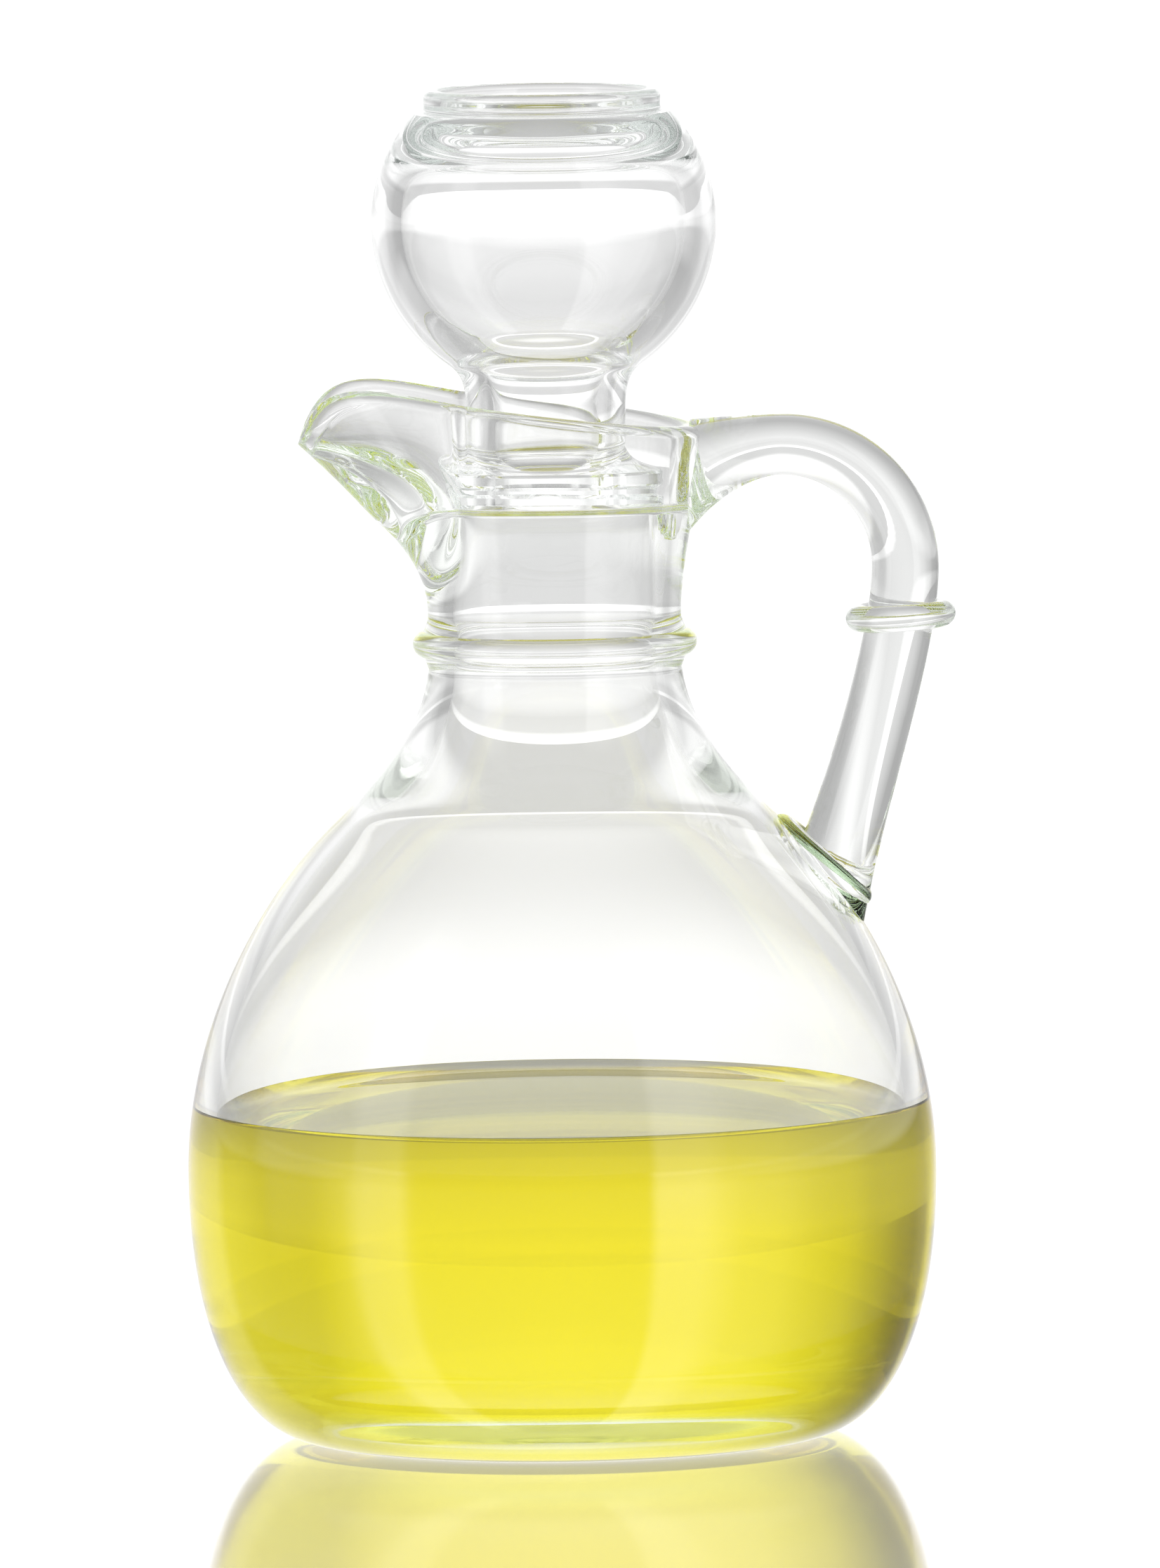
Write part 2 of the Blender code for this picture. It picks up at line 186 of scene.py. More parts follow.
# Glass faces on a ray's way: more than this many means that it went through the oil
CLEAR_FACES = 4.5
FLOOR_RADIUS = 8.0
FLOOR_DROP = 0.05 * MM
FLOOR_SEEN = 1.02
FLOOR_OWN_LIGHT = 0.8
FLOOR_MIRROR_POWER = 2.0
FLOOR_GRAIN_SCALE = 40.0
FLOOR_ROUGHNESS = (0.06, 0.09)

# Light paths: enough for the light that runs inside the glass to come out again
GLASS_BOUNCES = 64
DIFFUSE_BOUNCES = 4
GLOSSY_BLUR = 0.5

# Camera
VIEW_DISTANCE = 2.4
VIEW_ELEVATION = math.radians(4.9)
VIEW_ROLL = math.radians(-0.8)
FRAME_HEIGHT = 171.9 * MM
AIM = Vector((2.53 * MM, 0.0, 71.57 * MM))
SENSOR = 36.0


def bezier(start, first, second, end, steps):
    """Points of a cubic curve after its start, up to and with its end."""
    points = []
    count = steps * FINE
    for step in range(1, count + 1):
        t = step / count
        weights = ((1 - t) ** 3, 3 * t * (1 - t) ** 2, 3 * t * t * (1 - t), t ** 3)
        hull = (start, first, second, end)
        points.append(tuple(sum(w * p[axis] for w, p in zip(weights, hull)) for axis in (0, 1)))
    return points


def line(start, end, steps):
    """Points of a straight run after its start, up to and with its end."""
    return [(start[0] + (end[0] - start[0]) * i / steps, start[1] + (end[1] - start[1]) * i / steps)
            for i in range(1, steps + 1)]


def arc(centre, radii, start, end, steps):
    """Points of a circular or elliptic arc, angles in degrees from the +radius direction."""
    points = []
    count = steps * 2
    for step in range(count + 1):
        angle = math.radians(start + (end - start) * step / count)
        points.append((centre[0] + radii[0] * math.cos(angle), centre[1] + radii[1] * math.sin(angle)))
    return points


def inset(profile, depth):
    """The profile moved by depth towards its left side, seen along its direction."""
    moved = []
    for index, (radius, height) in enumerate(profile):
        before = profile[max(index - 1, 0)]
        after = profile[min(index + 1, len(profile) - 1)]
        run = after[0] - before[0]
        rise = after[1] - before[1]
        length = math.hypot(run, rise)
        moved.append((radius - depth * rise / length, height + depth * run / length))
    return moved


def along_shoulder(point, slope, drop):
    """A point before (drop > 0) or after the shoulder's steepest point, along its tangent."""
    return (point[0] + slope * drop, point[1] - drop)


def outer_body():
    """Outside of the body, from the edge of the flat base up to the foot of the neck."""
    base = (BASE_RADIUS, 0.0)
    belly = (BELLY_RADIUS, BELLY_HEIGHT)
    neck = (NECK_RADIUS, NECK_BOTTOM)
    heel = bezier(base, (34.5 * MM, 0.0), (BELLY_RADIUS, 9.5 * MM), belly, 10)
    before = along_shoulder(SHOULDER, SHOULDER_SLOPE, 8.8 * MM)
    after = along_shoulder(SHOULDER, SHOULDER_SLOPE, -5.0 * MM)
    upper = bezier(belly, (BELLY_RADIUS, 44.8 * MM), before, SHOULDER, 9)
    sweep = bezier(SHOULDER, after, (14.6 * MM, 78.5 * MM), neck, 6)
    return [base] + heel + upper + sweep


def inner_body():
    """Inside of the body, from the middle of its floor up to the foot of the bore."""
    floor = (24.0 * MM, BASE_THICKNESS)
    belly = (BELLY_RADIUS - BELLY_WALL, BELLY_HEIGHT)
    bore = (BORE_RADIUS, NECK_BOTTOM)
    heel = bezier(floor, (32.0 * MM, BASE_THICKNESS), (belly[0], 11.0 * MM), belly, 7)
    before = along_shoulder(INNER_SHOULDER, INNER_SLOPE, 11.5 * MM)
    after = along_shoulder(INNER_SHOULDER, INNER_SLOPE, -4.0 * MM)
    upper = bezier(belly, (belly[0], 43.8 * MM), before, INNER_SHOULDER, 7)
    sweep = bezier(INNER_SHOULDER, after, (11.2 * MM, 77.5 * MM), bore, 5)
    return [(0.0, BASE_THICKNESS)] + line((0.0, BASE_THICKNESS), floor, 8) + heel + upper + sweep


def outer_neck():
    """Outside of the neck, from the ring up to the start of the rim's round edge."""
    ring = arc((RING_CENTRE_RADIUS, RING_HEIGHT), (RING_SECTION, RING_SECTION), -80, 80, 8)
    flare_start = (NECK_RADIUS, 90.0 * MM)
    rim_side = (RIM_RADIUS + RIM_ROUND, RIM_HEIGHT - RIM_ROUND)
    flare = bezier(flare_start, (NECK_RADIUS, 97.0 * MM), (16.4 * MM, 103.0 * MM), rim_side, 8)
    return ring + [flare_start] + flare


def inner_neck():
    """Inside of the neck, from the bore up over the ledge to the start of the rim's round edge."""
    round_up = 0.6 * MM
    bore_top = (BORE_RADIUS, LEDGE_HEIGHT - round_up)
    mouth_foot = (MOUTH_BORE_RADIUS, LEDGE_HEIGHT + 0.5 * MM)
    mouth_top = (RIM_RADIUS - RIM_ROUND, RIM_HEIGHT - RIM_ROUND)
    lower = line((BORE_RADIUS, NECK_BOTTOM), bore_top, 12)
    ledge = arc((BORE_RADIUS + round_up, LEDGE_HEIGHT - round_up), (round_up, round_up), 180, 90, 3)[1:]
    corner = bezier(ledge[-1], (MOUTH_BORE_RADIUS - 0.1 * MM, LEDGE_HEIGHT),
                    (MOUTH_BORE_RADIUS, LEDGE_HEIGHT), mouth_foot, 2)
    upper = bezier(mouth_foot, (MOUTH_BORE_RADIUS, 106.0 * MM), (MOUTH_BORE_RADIUS + 0.3 * MM, 109.5 * MM),
                   mouth_top, 5)
    return lower + ledge + corner + upper[:-1]


def bottle_profile():
    """Whole section of the bottle, from the floor inside, over the rim, to the middle of the base."""
    rim = arc((RIM_RADIUS, RIM_HEIGHT - RIM_ROUND), (RIM_ROUND, RIM_ROUND), 180, 0, 8)
    outside = outer_body() + outer_neck()[:-1]
    return inner_body() + inner_neck() + rim + outside[::-1] + line((BASE_RADIUS, 0.0), (0.0, 0.0), 6)


def core_profile():
    """A solid that ends in the middle of the wall: it trims the handle's two ends."""
    neck = [point for point in outer_neck() if point[1] > 90.0 * MM]
    middle = inset(outer_body()[20:] + [(NECK_RADIUS, 90.0 * MM)] + neck, BELLY_WALL / 2)
    return [(0.0, middle[-1][1])] + middle[::-1] + [(0.0, middle[0][1])]


def stopper_profile():
    """Section of the hollow stopper, from its dish over the outside to the top of the hollow."""
    dish = bezier((0.0, STOPPER_DISH), (8.6 * MM, STOPPER_DISH), (11.2 * MM, 144.6 * MM),
                  (STOPPER_RIM_RADIUS - STOPPER_RIM_ROUND, 146.6 * MM), 5)
    rim_centre = (STOPPER_RIM_RADIUS, STOPPER_TOP - STOPPER_RIM_ROUND)
    rim = arc(rim_centre, (STOPPER_RIM_ROUND, STOPPER_RIM_ROUND), 180, 0, 8)
    upper_ball = arc((0.0, BALL_HEIGHT), (BALL_RADIUS, BALL_TOP_SEMI), 42, 0, 18)
    notch = bezier(rim[-1], (13.0 * MM, 145.9 * MM), (12.7 * MM, 145.4 * MM), upper_ball[0], 3)
    lower_ball = arc((0.0, BALL_HEIGHT), (BALL_RADIUS, BALL_RADIUS), -2, -56, 20)
    waist = bezier(lower_ball[-1], (9.1 * MM, 116.7 * MM), (8.75 * MM, 115.2 * MM), (8.7 * MM, 112.5 * MM), 4)
    stem_foot = (STEM_RADIUS, 109.0 * MM)
    plug_top = bezier(stem_foot, (STEM_RADIUS, 107.4 * MM), (10.5 * MM, 107.0 * MM),
                      (PLUG_RADIUS - 0.3 * MM, 106.6 * MM), 4)
    bottom = LEDGE_HEIGHT + PLUG_CLEARANCE
    groove = PLUG_RADIUS - PLUG_GROOVE
    plug_corners = [(PLUG_RADIUS, 106.3 * MM), (PLUG_RADIUS, 105.2 * MM), (groove, 104.9 * MM),
                    (groove, 104.4 * MM), (PLUG_RADIUS, 104.1 * MM), (PLUG_RADIUS, 103.3 * MM),
                    (PLUG_RADIUS - 0.5 * MM, bottom), (STEM_BORE + 0.6 * MM, bottom),
                    (STEM_BORE, bottom + 0.6 * MM), (STEM_BORE, 112.0 * MM)]
    plug = []
    last = plug_top[-1]
    for corner in plug_corners:
        plug += line(last, corner, 3)
        last = corner
    lower_hollow = arc((0.0, BALL_HEIGHT), (HOLLOW_RADIUS, HOLLOW_RADIUS), -60, 10, 22)
    throat = bezier(last, (STEM_BORE, 115.6 * MM), (6.3 * MM, 118.6 * MM), lower_hollow[0], 4)
    roof = bezier(lower_hollow[-1], (14.8 * MM, 139.6 * MM), (12.8 * MM, 141.0 * MM),
                  (9.5 * MM, HOLLOW_TOP), 4)
    outside = [(0.0, STOPPER_DISH)] + dish + rim[1:] + notch + upper_ball[1:] + lower_ball + waist
    inside = throat + lower_hollow[1:] + roof + line(roof[-1], (0.0, HOLLOW_TOP), 5)
    return outside + [stem_foot] + plug_top + plug + inside


def oil_profile():
    """Section of the oil: its top with the meniscus, then down just inside the glass and across the floor."""
    wall = inset(inner_body(), -OIL_INTO_WALL)
    contact = OIL_LEVEL + MENISCUS_RISE
    below = [point for point in wall if point[1] < contact]
    last, following = below[-1], wall[len(below)]
    share = (contact - last[1]) / (following[1] - last[1])
    edge = last[0] + share * (following[0] - last[0])
    top = [(0.0, OIL_LEVEL)] + line((0.0, OIL_LEVEL), (edge - MENISCUS_ZONE, OIL_LEVEL), 10)
    for step in range(1, MENISCUS_STEPS + 1):
        off = MENISCUS_ZONE * (1 - step / MENISCUS_STEPS) ** MENISCUS_CROWDING
        top.append((edge - off, OIL_LEVEL + MENISCUS_RISE * math.exp(-off / MENISCUS_REACH)))
    floor = [(0.0, BASE_THICKNESS - OIL_INTO_WALL)] + below[1:]
    return top + floor[::-1]


def mouth_form(places):
    """Slope the rim and pull the spout: where each turned point of the mouth goes."""
    x, y, z = places[:, 0], places[:, 1], places[:, 2]
    radius = np.maximum(np.hypot(x, y), WELD)
    middle = np.where(z > LEDGE_HEIGHT - WELD, MOUTH_WALL_MIDDLE, BORE_WALL_MIDDLE)
    outside = radius > middle
    start = np.where(outside, SPOUT_OUTER_FROM, SPOUT_INNER_FROM)
    power = np.where(outside, SPOUT_OUTER_POWER, SPOUT_INNER_POWER)
    top = RIM_HEIGHT - RIM_ROUND
    climb = np.clip((z - start) / (top - start), 0.0, 1.0)
    angle = np.abs(np.arctan2(y, -x))
    spread = np.maximum(1 - (angle / SPOUT_HALF_ANGLE) ** 2, 0.0) ** 1.5
    reach = 1 + SPOUT_REACH * climb ** power * spread / radius
    share = np.clip((z - SLOPE_FROM) / (top - SLOPE_FROM), 0.0, 1.0)
    channel = SPOUT_DIP * np.exp(-(y * reach / SPOUT_DIP_WIDTH) ** 2)
    height = z - RIM_SLOPE * x * reach * share + (SPOUT_LIFT - channel) * spread * climb ** 2
    return np.stack((x * reach, y * reach, height), axis=1)


def handle_path():
    """The handle's centre line as (x, z, radius)."""
    path = []
    centre_x, centre_z = HANDLE_ARC_CENTRE
    top = centre_z + HANDLE_ARC_RADIUS
    for step in range(ROD_RINGS):
        rest = 1 - step / ROD_RINGS
        x = HANDLE_ROOT_X + (centre_x - HANDLE_ROOT_X) * (1 - rest)
        flare = rest ** 1.8
        path.append((x, top - HANDLE_ROOT_DROP * flare, HANDLE_TOP_RADIUS + HANDLE_ROOT_FLARE * flare))
    for step in range(ROD_RINGS):
        turn = math.pi / 2 * (1 - step / ROD_RINGS)
        radius = HANDLE_TOP_RADIUS + (HANDLE_RADIUS - HANDLE_TOP_RADIUS) * step / ROD_RINGS
        x = centre_x + HANDLE_ARC_RADIUS * math.cos(turn)
        path.append((x, centre_z + HANDLE_ARC_RADIUS * math.sin(turn), radius))
    leg_top = (centre_x + HANDLE_ARC_RADIUS, centre_z)
    leg = [leg_top] + bezier(leg_top, (leg_top[0], 87.5 * MM), (33.3 * MM, 71.1 * MM), HANDLE_FOOT, 10)
    for index, (x, z) in enumerate(leg):
        share = index / (len(leg) - 1)
        path.append((x, z, HANDLE_RADIUS + HANDLE_FOOT_FLARE * share ** 5))
    return path


def evaluated(source, name):
    """A plain mesh object with the source's evaluated shape; the source is removed."""
    depsgraph = bpy.context.evaluated_depsgraph_get()
    mesh = bpy.data.meshes.new_from_object(source.evaluated_get(depsgraph))
    mesh.name = name
    mesh.transform(source.matrix_world)
    placed = bpy.data.objects.new(name, mesh)
    bpy.context.scene.collection.objects.link(placed)
    bpy.data.objects.remove(source, do_unlink=True)
    shape = bmesh.new()
    shape.from_mesh(mesh)
    bmesh.ops.remove_doubles(shape, verts=shape.verts, dist=WELD)
    shape.to_mesh(mesh)
    shape.free()
    return placed


def turned(name, profile, steps):
    """The profile turned round the Z axis."""
    mesh = bpy.data.meshes.new(name + "_profile")
    edges = [(index, index + 1) for index in range(len(profile) - 1)]
    mesh.from_pydata([(radius, 0.0, height) for radius, height in profile], edges, [])
    lathe = bpy.data.objects.new(name + "_lathe", mesh)
    bpy.context.scene.collection.objects.link(lathe)
    screw = lathe.modifiers.new("turn", "SCREW")
    screw.axis = "Z"
    screw.angle = math.tau
    screw.steps = steps
    screw.render_steps = steps
    screw.use_merge_vertices = True
    screw.merge_threshold = WELD
    return evaluated(lathe, name)


def rod(name, path):
    """A round bar along the path in the XZ plane, with its own radius at each point."""
    curve = bpy.data.curves.new(name, "CURVE")
    curve.dimensions = "3D"
    curve.bevel_depth = 1.0
    curve.bevel_resolution = 10
    curve.use_fill_caps = True
    spline = curve.splines.new("POLY")
    spline.points.add(len(path) - 1)
    for point, (x, z, radius) in zip(spline.points, path):
        point.co = (x, 0.0, z, 1.0)
        point.radius = radius
    guide = bpy.data.objects.new(name + "_guide", curve)
    bpy.context.scene.collection.objects.link(guide)
    return evaluated(guide, name)


def bead(name, centre, tilt, major, section, stretch):
    """A round bead: a ring about the XZ centre, tilted and stretched."""
    bpy.ops.mesh.primitive_torus_add(major_radius=major, minor_radius=section,
                                     major_segments=72, minor_segments=32,
                                     location=(centre[0], 0.0, centre[1]), rotation=(0.0, tilt, 0.0))
    ring = bpy.context.object
    ring.scale.x = stretch
    bpy.context.view_layer.update()
    return evaluated(ring, name)


def collar(path):
    """The bead on the handle's leg."""
    leg = path[2 * ROD_RINGS:]
    x, z, _ = leg[round(COLLAR_DROP * (len(leg) - 1))]
    return bead("handle_collar", (x, z), COLLAR_TILT, COLLAR_MAJOR, COLLAR_SECTION, 1.0)


def foot_bead():
    return bead("foot_bead", FOOT_BEAD_CENTRE, FOOT_BEAD_TILT, FOOT_BEAD_MAJOR, FOOT_BEAD_SECTION,
                FOOT_BEAD_STRETCH)


def combined(target, operation, tool):
    """The target with the tool joined to it or cut from it; the tool is removed."""
    modifier = target.modifiers.new(operation.lower(), "BOOLEAN")
    modifier.operation = operation
    modifier.solver = "EXACT"
    modifier.object = tool
    result = evaluated(target, target.name + "_" + operation.lower())
    bpy.data.objects.remove(tool, do_unlink=True)
    return result


def smooth(piece):
    piece.data.shade_smooth()
    piece.data.set_sharp_from_angle(angle=SMOOTH_ANGLE)


def make_bottle():
    bottle = turned("bottle_body", bottle_profile(), BOTTLE_STEPS)
    mesh = bottle.data
    places = np.empty(len(mesh.vertices) * 3, np.float32)
    mesh.vertices.foreach_get("co", places)
    mesh.vertices.foreach_set("co", mouth_form(places.reshape(-1, 3).astype(float)).ravel())
    path = handle_path()
    handle = combined(rod("handle", path), "DIFFERENCE", turned("wall_core", core_profile(), BOTTLE_STEPS))
    handle = combined(handle, "UNION", collar(path))
    bottle = combined(bottle, "UNION", handle)
    bottle = combined(bottle, "UNION", foot_bead())
    bottle.name = "bottle_glass"
    smooth(bottle)
    return bottle


def make_stopper():
    stopper = turned("stopper_glass", stopper_profile(), STOPPER_STEPS)
    stopper.data.transform(Matrix.Translation((STOPPER_SHIFT, 0.0, 0.0)))
    smooth(stopper)
    return stopper


def make_oil():
    oil = turned("oil_fill", oil_profile(), OIL_STEPS)
    smooth(oil)
    return oil


def node(tree, kind, **settings):
    made = tree.nodes.new(kind)
    for name, value in settings.items():
        setattr(made, name, value)
    return made


def glass_material(name, tint, density, waves_of):
    """Clear pressed glass: slight waves (their width and height), a faint tint in its depth."""
    wave_size, wave_height = waves_of
    material = bpy.data.materials.new(name)
    material.use_nodes = True
    tree = material.node_tree
    shader = tree.nodes["Principled BSDF"]
    shader.inputs["Base Color"].default_value = (1.0, 1.0, 1.0, 1.0)
    shader.inputs["Transmission Weight"].default_value = 1.0
    shader.inputs["IOR"].default_value = GLASS_IOR
    place = node(tree, "ShaderNodeTexCoord")
    waves = node(tree, "ShaderNodeTexNoise")
    waves.inputs["Scale"].default_value = 1 / wave_size
    waves.inputs["Detail"].default_value = 1.0
    bump = node(tree, "ShaderNodeBump")
    bump.inputs["Distance"].default_value = wave_height
    bump.inputs["Strength"].default_value = 1.0
    haze = node(tree, "ShaderNodeTexNoise")
    haze.inputs["Scale"].default_value = HAZE_SCALE
    rough = node(tree, "ShaderNodeMapRange")
    rough.inputs["From Min"].default_value, rough.inputs["From Max"].default_value = HAZE_NOISE
    rough.inputs["To Min"].default_value = 0.0
    rough.inputs["To Max"].default_value = HAZE_ROUGHNESS
    depth = node(tree, "ShaderNodeVolumeAbsorption")
    depth.inputs["Color"].default_value = tint
    depth.inputs["Density"].default_value = density
    links = tree.links
    links.new(place.outputs["Object"], waves.inputs["Vector"])
    links.new(place.outputs["Object"], haze.inputs["Vector"])
    links.new(waves.outputs["Fac"], bump.inputs["Height"])
    links.new(bump.outputs["Normal"], shader.inputs["Normal"])
    links.new(haze.outputs["Fac"], rough.inputs["Value"])
    links.new(rough.outputs["Result"], shader.inputs["Roughness"])
    links.new(depth.outputs["Volume"], tree.nodes["Material Output"].inputs["Volume"])
    return material


def oil_material():
    """Clear yellow oil: blue light goes within a few millimetres, red and green pass."""
    material = bpy.data.materials.new("yellow_oil")
    material.use_nodes = True
    tree = material.node_tree
    shader = tree.nodes["Principled BSDF"]
    shader.inputs["Base Color"].default_value = (1.0, 1.0, 1.0, 1.0)
    shader.inputs["Transmission Weight"].default_value = 1.0
    shader.inputs["Roughness"].default_value = 0.0
    shader.inputs["IOR"].default_value = OIL_IOR
    shader.inputs["Specular Tint"].default_value = (0.0, 0.0, 0.0, 1.0)
    depth = node(tree, "ShaderNodeVolumeAbsorption")
    depth.inputs["Color"].default_value = OIL_TINT
    depth.inputs["Density"].default_value = OIL_DENSITY
    tree.links.new(depth.outputs["Volume"], tree.nodes["Material Output"].inputs["Volume"])
    return material


def ramp(tree, factor, stops):
    """Brightness by the factor, 0 to 1, from pairs of place and level."""
    made = node(tree, "ShaderNodeValToRGB")
    elements = made.color_ramp.elements
    elements.remove(elements[-1])
    for index, (place, level) in enumerate(stops):
        stop = elements[0] if index == 0 else elements.new(place)
        stop.position = place
        stop.color = (level, level, level, 1.0)
    tree.links.new(factor, made.inputs["Fac"])
    return made.outputs["Color"]


def light_ring(tree, compass, levels):
    """Brightness by compass direction, as a share of the brightest."""
    return ramp(tree, compass, [((angle + 180) / 360, level / BRIGHTEST) for angle, level in levels])


def painted_floor_rings(tree, share, levels):
    """Painted light and shade on the floor: brightness by distance from the middle."""
    return ramp(tree, share, [(distance / FLOOR_REACH, level) for distance, level in levels])


def mixed(tree, factor, first, second):
    """The first where the factor is 0, the second where it is 1."""
    mix = node(tree, "ShaderNodeMix", data_type="RGBA")
    for socket, value in (("Factor", factor), ("A", first), ("B", second)):
        target = [item for item in mix.inputs if item.name == socket and
                  (socket == "Factor" or item.type == "RGBA")][0]
        if isinstance(value, float):
            target.default_value = (value,) * 3 + (1.0,)
        else:
            tree.links.new(value, target)
    return [item for item in mix.outputs if item.type == "RGBA"][0]


def multiplied(tree, first, second):
    product = node(tree, "ShaderNodeMath", operation="MULTIPLY")
    tree.links.new(first, product.inputs[0])
    tree.links.new(second, product.inputs[1])
    return product.outputs[0]


def many_faces(tree, path):
    """1 for a ray that has gone through more faces than the clear glass alone has."""
    count = node(tree, "ShaderNodeMath", operation="GREATER_THAN")
    count.inputs[1].default_value = CLEAR_FACES
    tree.links.new(path.outputs["Transmission Depth"], count.inputs[0])
    return count.outputs[0]


def floor_material():
    """White glossy sheet that glows: evenly bright to the camera, and with painted rings of light and shade
    to rays that come through the glass. It mirrors strongly where it is seen at a low angle.
    """
    material = bpy.data.materials.new("pale_floor_painted_light")
    material.use_nodes = True
    tree = material.node_tree
    tree.nodes.remove(tree.nodes["Principled BSDF"])
    links = tree.links
    sheet = node(tree, "ShaderNodeEmission")
    gloss = node(tree, "ShaderNodeBsdfGlossy")
    both = node(tree, "ShaderNodeMixShader")
    angle = node(tree, "ShaderNodeLayerWeight")
    angle.inputs["Blend"].default_value = 0.5
    mirror = node(tree, "ShaderNodeMath", operation="POWER")
    mirror.inputs[1].default_value = FLOOR_MIRROR_POWER
    links.new(angle.outputs["Facing"], mirror.inputs[0])
    place = node(tree, "ShaderNodeTexCoord")
    away = node(tree, "ShaderNodeVectorMath", operation="LENGTH")
    links.new(place.outputs["Object"], away.inputs[0])
    share = node(tree, "ShaderNodeMath", operation="DIVIDE")
    share.inputs[1].default_value = FLOOR_REACH
    links.new(away.outputs["Value"], share.inputs[0])
    # Painted light and shade: rings of floor brightness by distance, one set for rays through clear glass,
    # one for rays through the oil.
    clear = painted_floor_rings(tree, share.outputs[0], FLOOR_PAINTED_LIGHT_THROUGH_GLASS)
    painted_through_oil = painted_floor_rings(tree, share.outputs[0], FLOOR_PAINTED_LIGHT_THROUGH_OIL)
    path = node(tree, "ShaderNodeLightPath")
    painted_rings = mixed(tree, many_faces(tree, path), clear, painted_through_oil)
    own = node(tree, "ShaderNodeMath", operation="MULTIPLY")
    own.inputs[1].default_value = FLOOR_OWN_LIGHT
    links.new(painted_rings, own.inputs[0])
    # The camera sees the floor evenly bright; other rays see the painted rings of light and shade in its glow
    # and in its mirrored colour.
    links.new(mixed(tree, path.outputs["Is Camera Ray"], own.outputs[0], FLOOR_SEEN), sheet.inputs["Color"])
    links.new(mixed(tree, path.outputs["Is Camera Ray"], painted_rings, 1.0), gloss.inputs["Color"])
    grain = node(tree, "ShaderNodeTexNoise")
    grain.inputs["Scale"].default_value = FLOOR_GRAIN_SCALE
    rough = node(tree, "ShaderNodeMapRange")
    rough.inputs["To Min"].default_value, rough.inputs["To Max"].default_value = FLOOR_ROUGHNESS
    links.new(place.outputs["Object"], grain.inputs["Vector"])
    links.new(grain.outputs["Fac"], rough.inputs["Value"])
    links.new(rough.outputs["Result"], gloss.inputs["Roughness"])
    links.new(mirror.outputs[0], both.inputs[0])
    links.new(sheet.outputs[0], both.inputs[1])
    links.new(gloss.outputs[0], both.inputs[2])
    links.new(both.outputs[0], tree.nodes["Material Output"].inputs["Surface"])
    return material


def make_floor():
    bpy.ops.mesh.primitive_circle_add(vertices=96, radius=FLOOR_RADIUS, fill_type="NGON",
                                      location=(0.0, 0.0, -FLOOR_DROP))
    floor = bpy.context.object
    floor.name = "floor"
    floor.visible_glossy = False
    floor.data.materials.append(floor_material())
    return floor


def step_between(tree, value, elevations):
    """A smooth step of the sine of the elevation, between two elevations in degrees."""
    low, high = elevations
    step = node(tree, "ShaderNodeMapRange", interpolation_type="SMOOTHSTEP")
    step.inputs["From Min"].default_value = math.sin(math.radians(low))
    step.inputs["From Max"].default_value = math.sin(math.radians(high))
    tree.links.new(value, step.inputs["Value"])
    return step.outputs["Result"]


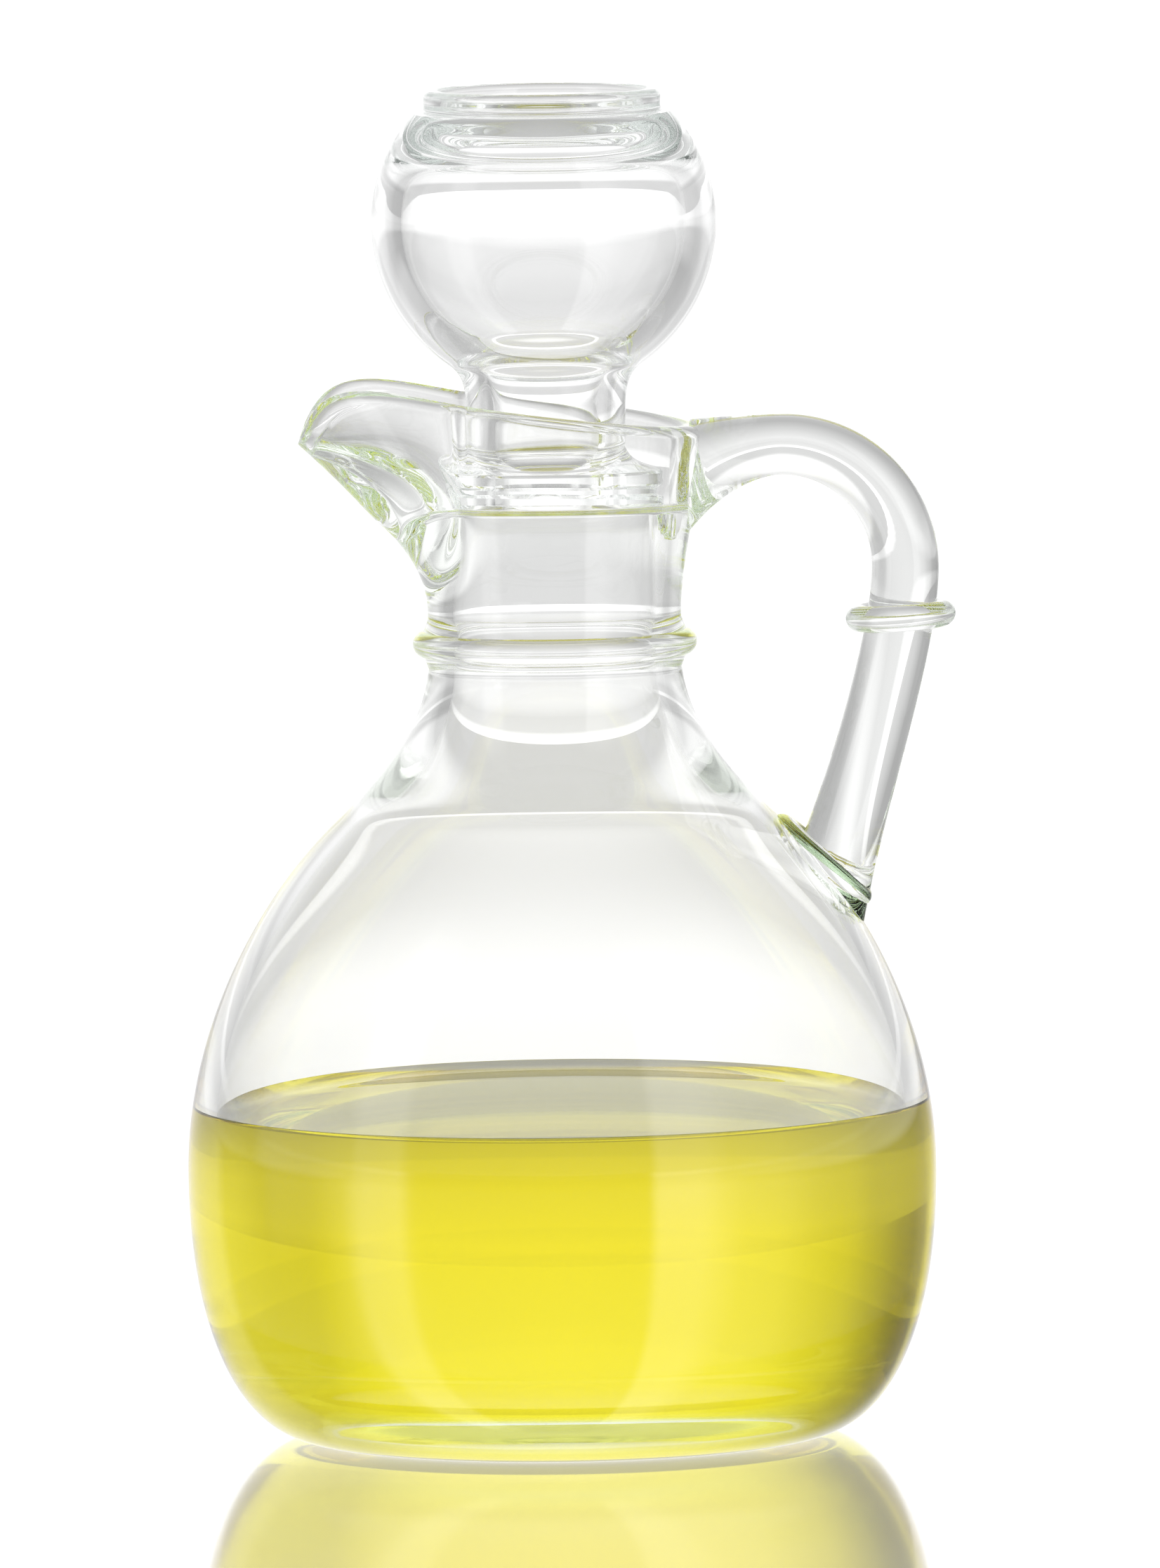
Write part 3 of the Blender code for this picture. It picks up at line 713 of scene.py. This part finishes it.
def studio_light():
    """Soft light round the object: bright backdrop, a tall soft box on each side, dark gaps, grey ceiling."""
    world = bpy.data.worlds.new("studio")
    bpy.context.scene.world = world
    world.use_nodes = True
    tree = world.node_tree
    links = tree.links
    place = node(tree, "ShaderNodeTexCoord")
    split = node(tree, "ShaderNodeSeparateXYZ")
    links.new(place.outputs["Generated"], split.inputs["Vector"])
    towards = node(tree, "ShaderNodeMath", operation="MULTIPLY")
    towards.inputs[1].default_value = -1.0
    links.new(split.outputs["Y"], towards.inputs[0])
    compass = node(tree, "ShaderNodeMath", operation="ARCTAN2")
    links.new(split.outputs["X"], compass.inputs[0])
    links.new(towards.outputs[0], compass.inputs[1])
    turn = node(tree, "ShaderNodeMapRange")
    turn.inputs["From Min"].default_value = -math.pi
    turn.inputs["From Max"].default_value = math.pi
    links.new(compass.outputs[0], turn.inputs["Value"])
    height = split.outputs["Z"]
    ceiling = step_between(tree, height, CEILING_ELEVATION)
    through = light_ring(tree, turn.outputs["Result"], LIGHT_THROUGH)
    path = node(tree, "ShaderNodeLightPath")
    lifted = node(tree, "ShaderNodeMath", operation="MAXIMUM")
    lifted.inputs[1].default_value = DARKEST_CLEAR / BRIGHTEST
    links.new(through, lifted.inputs[0])
    through = mixed(tree, many_faces(tree, path), lifted.outputs[0], through)
    above = node(tree, "ShaderNodeMath", operation="MAXIMUM")
    links.new(step_between(tree, height, HORIZON_ELEVATION), above.inputs[0])
    links.new(many_faces(tree, path), above.inputs[1])
    horizon = mixed(tree, above.outputs[0], HORIZON_LIGHT, 1.0)
    through = multiplied(tree, through, horizon)
    through = mixed(tree, ceiling, through, CEILING_LIGHT / BRIGHTEST)
    mirrored = light_ring(tree, turn.outputs["Result"], LIGHT_MIRRORED)
    mirrored = mixed(tree, ceiling, mirrored, CEILING_MIRRORED / BRIGHTEST)
    mirrored = mixed(tree, step_between(tree, height, GROUND_ELEVATION), GROUND_MIRRORED / BRIGHTEST,
                     mirrored)
    low = multiplied(tree, step_between(tree, height, LOW_FROM_ELEVATION),
                     step_between(tree, height, LOW_TO_ELEVATION))
    band = multiplied(tree, low, light_ring(tree, turn.outputs["Result"], LIGHT_LOW))
    brighter = node(tree, "ShaderNodeMath", operation="MAXIMUM")
    links.new(mirrored, brighter.inputs[0])
    links.new(band, brighter.inputs[1])
    seen = mixed(tree, path.outputs["Is Transmission Ray"], brighter.outputs[0], through)
    seen = mixed(tree, path.outputs["Is Camera Ray"], seen, BACKDROP_SEEN / BRIGHTEST)
    background = tree.nodes["Background"]
    background.inputs["Strength"].default_value = BRIGHTEST
    links.new(seen, background.inputs["Color"])


def make_camera():
    data = bpy.data.cameras.new("camera")
    data.sensor_width = SENSOR
    data.sensor_fit = "VERTICAL"
    data.sensor_height = SENSOR
    data.lens = SENSOR * VIEW_DISTANCE / FRAME_HEIGHT
    data.clip_end = 50.0
    camera = bpy.data.objects.new("camera", data)
    bpy.context.scene.collection.objects.link(camera)
    back = Vector((0.0, -math.cos(VIEW_ELEVATION), math.sin(VIEW_ELEVATION)))
    camera.location = AIM + VIEW_DISTANCE * back
    turn = (-back).to_track_quat("-Z", "Y") @ Quaternion((0.0, 0.0, 1.0), VIEW_ROLL)
    camera.rotation_mode = "QUATERNION"
    camera.rotation_quaternion = turn
    bpy.context.scene.camera = camera


def light_paths():
    scene = bpy.context.scene
    scene.cycles.max_bounces = GLASS_BOUNCES
    scene.cycles.transmission_bounces = GLASS_BOUNCES
    scene.cycles.glossy_bounces = GLASS_BOUNCES
    scene.cycles.diffuse_bounces = DIFFUSE_BOUNCES
    scene.cycles.caustics_refractive = True
    scene.cycles.caustics_reflective = True
    scene.cycles.blur_glossy = GLOSSY_BLUR
    scene.view_settings.view_transform = "Standard"
    scene.view_settings.look = "None"


def place_piece(piece, node_name, material):
    piece.data.materials.clear()
    piece.data.materials.append(material)
    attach(piece, "root")
    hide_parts(node_name)


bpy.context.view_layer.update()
place_piece(make_bottle(), "cruet_bottle",
            glass_material("pressed_glass", BOTTLE_TINT, BOTTLE_DENSITY, BOTTLE_WAVES))
place_piece(make_stopper(), "stopper",
            glass_material("stopper_glass", STOPPER_TINT, STOPPER_DENSITY, STOPPER_WAVES))
place_piece(make_oil(), "oil", oil_material())
make_floor()
studio_light()
make_camera()
light_paths()
